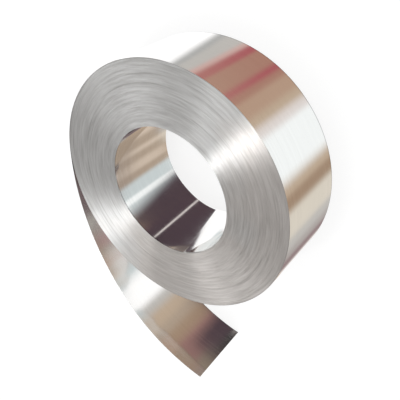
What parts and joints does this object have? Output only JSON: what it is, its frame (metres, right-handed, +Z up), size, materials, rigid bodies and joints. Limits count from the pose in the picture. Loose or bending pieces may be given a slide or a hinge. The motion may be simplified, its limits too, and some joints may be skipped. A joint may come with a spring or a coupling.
{
  "type": "steel coil",
  "caption": "Coil of bright cold-rolled steel strip wound tight on an open bore, with a loose outer end, lying on its end face.",
  "frame": {"origin": "centre of the bore at the plane of the lower end face, which rests on the floor", "axes": "+Z up along the bore; the loose outer end leaves the coil on its -X side and its tip points along +X below the coil in plan, at about -280 mm Y"},
  "size_m": [0.3004, 0.4281, 0.095],
  "materials": {
    "strip_steel": "bright cold rolled, polished on its faces and slit on its edges"
  },
  "bodies": {
    "root": {"steel_coil": "strip_steel"}
  },
  "joints": []
}
